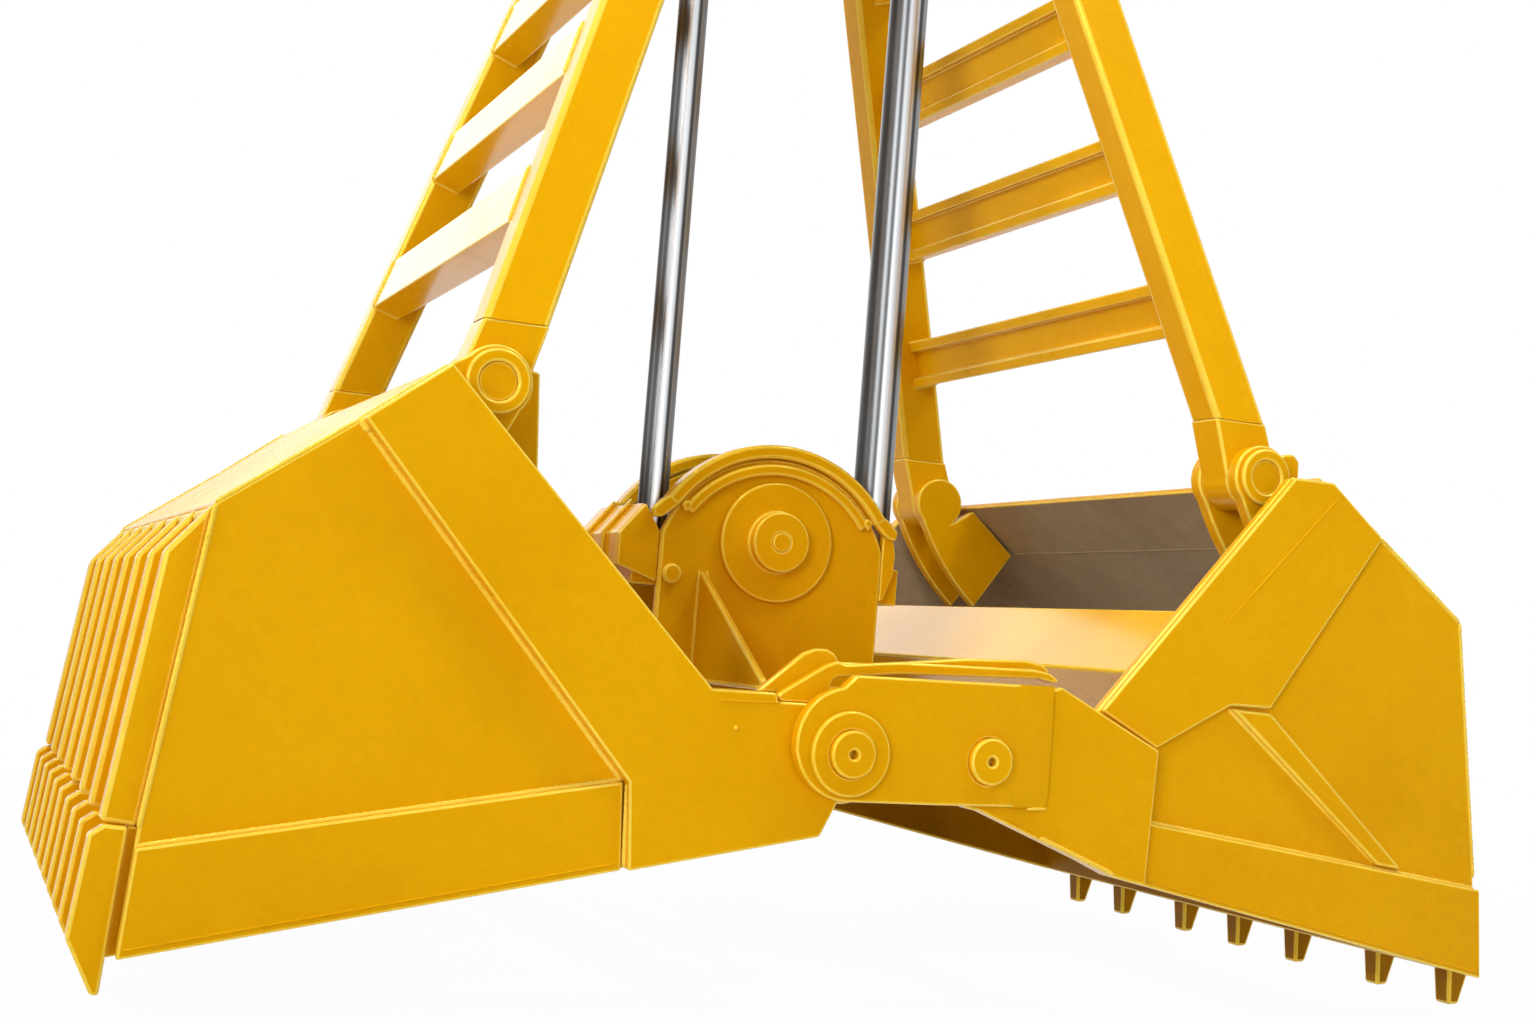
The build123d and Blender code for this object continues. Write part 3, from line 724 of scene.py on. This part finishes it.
# Clamps that close the ends of the sheave guards, and stops at the ends of the rims


def add_prism(name, body, outlines, width):
    """Small plates cut to outlines in X and Z, each from one Y to another, with rounded edges that carry
    painted highlights.
    """
    shape = bmesh.new()
    for outline, y0, y1 in outlines:
        near = [shape.verts.new(at(x, y0, z)) for x, z in outline]
        far = [shape.verts.new(at(x, y1, z)) for x, z in outline]
        shape.faces.new(near)
        shape.faces.new(far[::-1])
        for i in range(len(outline)):
            j = (i + 1) % len(outline)
            shape.faces.new((near[j], near[i], far[i], far[j]))
    bmesh.ops.recalc_face_normals(shape, faces=shape.faces)
    for face in shape.faces:
        face.smooth = True
    mesh = bpy.data.meshes.new(name)
    shape.to_mesh(mesh)
    shape.free()
    mesh.materials.append(paint)
    mesh.materials.append(edge_highlight_paint)
    soften(add_piece(name, mesh, body), width, 3, 1)


CLAMP_SHIFT = 0.97
clamp = [(-258, 392), (-238, 411), (-216, 424), (-207, 402), (-222, 388), (-236, 377), (-254, 375)]
rim_stop = [(-196, 405), (-182, 414), (-172, 402), (-186, 388)]
clamps = []
for turn in (-1.0, 1.0):
    face = turn * BLOCK_FACE
    for flip in (1.0, -1.0):
        clamp_outline = [(flip * x * CLAMP_SHIFT, z) for x, z in clamp]
        stop_outline = [(flip * x, z) for x, z in rim_stop]
        clamps.append((clamp_outline, face - turn * 6, face + turn * 14))
        clamps.append((stop_outline, face, face + turn * 16))
add_prism("guard_clamps", "lower_block", clamps, 0.005)


# Stage


def stage_material():
    """A pale floor that shows white to the camera and keeps a little of the shadow near the part."""
    material = bpy.data.materials.new("pale_floor")
    material.use_nodes = True
    tree = material.node_tree
    shader = tree.nodes["Principled BSDF"]
    shader.inputs["Base Color"].default_value = (0.80, 0.80, 0.80, 1.0)
    shader.inputs["Roughness"].default_value = 0.9
    shader.inputs["Specular IOR Level"].default_value = 0.0
    glow = tree.nodes.new("ShaderNodeEmission")
    rays = tree.nodes.new("ShaderNodeLightPath")
    place = tree.nodes.new("ShaderNodeTexCoord")
    distance = tree.nodes.new("ShaderNodeVectorMath")
    distance.operation = "LENGTH"
    fade = tree.nodes.new("ShaderNodeMapRange")
    fade.interpolation_type = "SMOOTHSTEP"
    fade.inputs["From Min"].default_value = 1.2
    fade.inputs["From Max"].default_value = 4.0
    fade.inputs["To Min"].default_value = 0.97
    share = tree.nodes.new("ShaderNodeMath")
    share.operation = "MULTIPLY"
    tree.links.new(place.outputs["Object"], distance.inputs[0])
    tree.links.new(distance.outputs["Value"], fade.inputs["Value"])
    tree.links.new(fade.outputs["Result"], share.inputs[1])
    blend = tree.nodes.new("ShaderNodeMixShader")
    seen = rays.outputs["Is Camera Ray"]
    for ray in ("Is Glossy Ray", "Is Transmission Ray"):
        either = tree.nodes.new("ShaderNodeMath")
        either.operation = "MAXIMUM"
        tree.links.new(seen, either.inputs[0])
        tree.links.new(rays.outputs[ray], either.inputs[1])
        seen = either.outputs["Value"]
    tree.links.new(seen, share.inputs[0])
    tree.links.new(share.outputs["Value"], blend.inputs["Fac"])
    tree.links.new(shader.outputs["BSDF"], blend.inputs[1])
    tree.links.new(glow.outputs["Emission"], blend.inputs[2])
    tree.links.new(blend.outputs["Shader"], tree.nodes["Material Output"].inputs["Surface"])
    return material


floor_mesh = bpy.data.meshes.new("floor")
corners = [(x * FLOOR_REACH, y * FLOOR_REACH, 0.0) for x, y in ((-1, -1), (1, -1), (1, 1), (-1, 1))]
floor_mesh.from_pydata(corners, [], [(0, 1, 2, 3)])
floor_mesh.materials.append(stage_material())
floor = bpy.data.objects.new("floor", floor_mesh)
floor.location = at(0, 0, FLOOR_Z)
bpy.context.scene.collection.objects.link(floor)

world = bpy.data.worlds.new("studio")
bpy.context.scene.world = world
world.use_nodes = True
world_tree = world.node_tree
background = world_tree.nodes["Background"]
background.inputs["Color"].default_value = (1.0, 1.0, 1.0, 1.0)
rays = world_tree.nodes.new("ShaderNodeLightPath")
sky = world_tree.nodes.new("ShaderNodeTexCoord")
bright_side = world_tree.nodes.new("ShaderNodeVectorMath")
bright_side.operation = "DOT_PRODUCT"
bright_side.inputs[1].default_value = (-0.68, 0.44, 0.59)
world_tree.links.new(sky.outputs["Generated"], bright_side.inputs[0])
soft = world_tree.nodes.new("ShaderNodeMapRange")
soft.interpolation_type = "SMOOTHSTEP"
for name, value in (("From Min", -0.5), ("From Max", 0.9), ("To Min", 0.25), ("To Max", 0.74)):
    soft.inputs[name].default_value = value
world_tree.links.new(bright_side.outputs["Value"], soft.inputs["Value"])


def choose(ray, otherwise, chosen):
    """The chosen strength for one kind of ray."""
    node = world_tree.nodes.new("ShaderNodeMix")
    node.data_type = "FLOAT"
    node.inputs[3].default_value = chosen
    world_tree.links.new(rays.outputs[ray], node.inputs["Factor"])
    world_tree.links.new(otherwise, node.inputs[2])
    return node.outputs[0]


strength = choose("Is Glossy Ray", soft.outputs["Result"], 0.90)
strength = choose("Is Transmission Ray", strength, 1.0)
strength = choose("Is Camera Ray", strength, 1.0)
world_tree.links.new(strength, background.inputs["Strength"])


def area_light(name, place, aim, size, watts, spread=180.0):
    """A round lamp that the camera doesn't see, aimed at a point."""
    lamp = bpy.data.lights.new(name, "AREA")
    lamp.shape = "DISK"
    lamp.size = size
    lamp.energy = watts
    lamp.spread = math.radians(spread)
    light = bpy.data.objects.new(name, lamp)
    light.location = at(*place)
    direction = at(*aim) - light.location
    light.rotation_euler = direction.to_track_quat("-Z", "Y").to_euler()
    light.visible_camera = False
    bpy.context.scene.collection.objects.link(light)


area_light("key", (-900, -8000, 1300), (0, 0, 300), 3.5, 34.0)
area_light("ladder", (-4200, -4200, 2300), (420, 0, 900), 3.2, 10.0, 26.0)
area_light("upper_left", (-3000, -1500, 6200), (0, 0, 300), 0.7, 170.0)
area_light("back", (-800, 8500, 4200), (-300, 0, 1200), 5.0, 75.0)
area_light("upper_right", (2600, -2600, 6000), (0, 0, 300), 1.0, 100.0)

turn = math.radians(CAMERA_TURN)
pitch = math.radians(CAMERA_PITCH)
roll = math.radians(CAMERA_ROLL)
forward = Vector((math.sin(turn) * math.cos(pitch), math.cos(turn) * math.cos(pitch), math.sin(pitch)))
level_right = Vector((math.cos(turn), -math.sin(turn), 0.0))
level_up = level_right.cross(forward)
right = math.cos(roll) * level_right + math.sin(roll) * level_up
up = -math.sin(roll) * level_right + math.cos(roll) * level_up
lens = bpy.data.cameras.new("camera")
lens.lens = CAMERA_LENS
lens.sensor_width = 36.0
lens.clip_end = 200.0
camera = bpy.data.objects.new("camera", lens)
facing = Matrix((right, up, -forward)).transposed().to_4x4()
camera.matrix_world = Matrix.Translation(at(*CAMERA_PLACE)) @ facing
bpy.context.scene.collection.objects.link(camera)
bpy.context.scene.camera = camera
bpy.context.scene.view_settings.view_transform = "Standard"
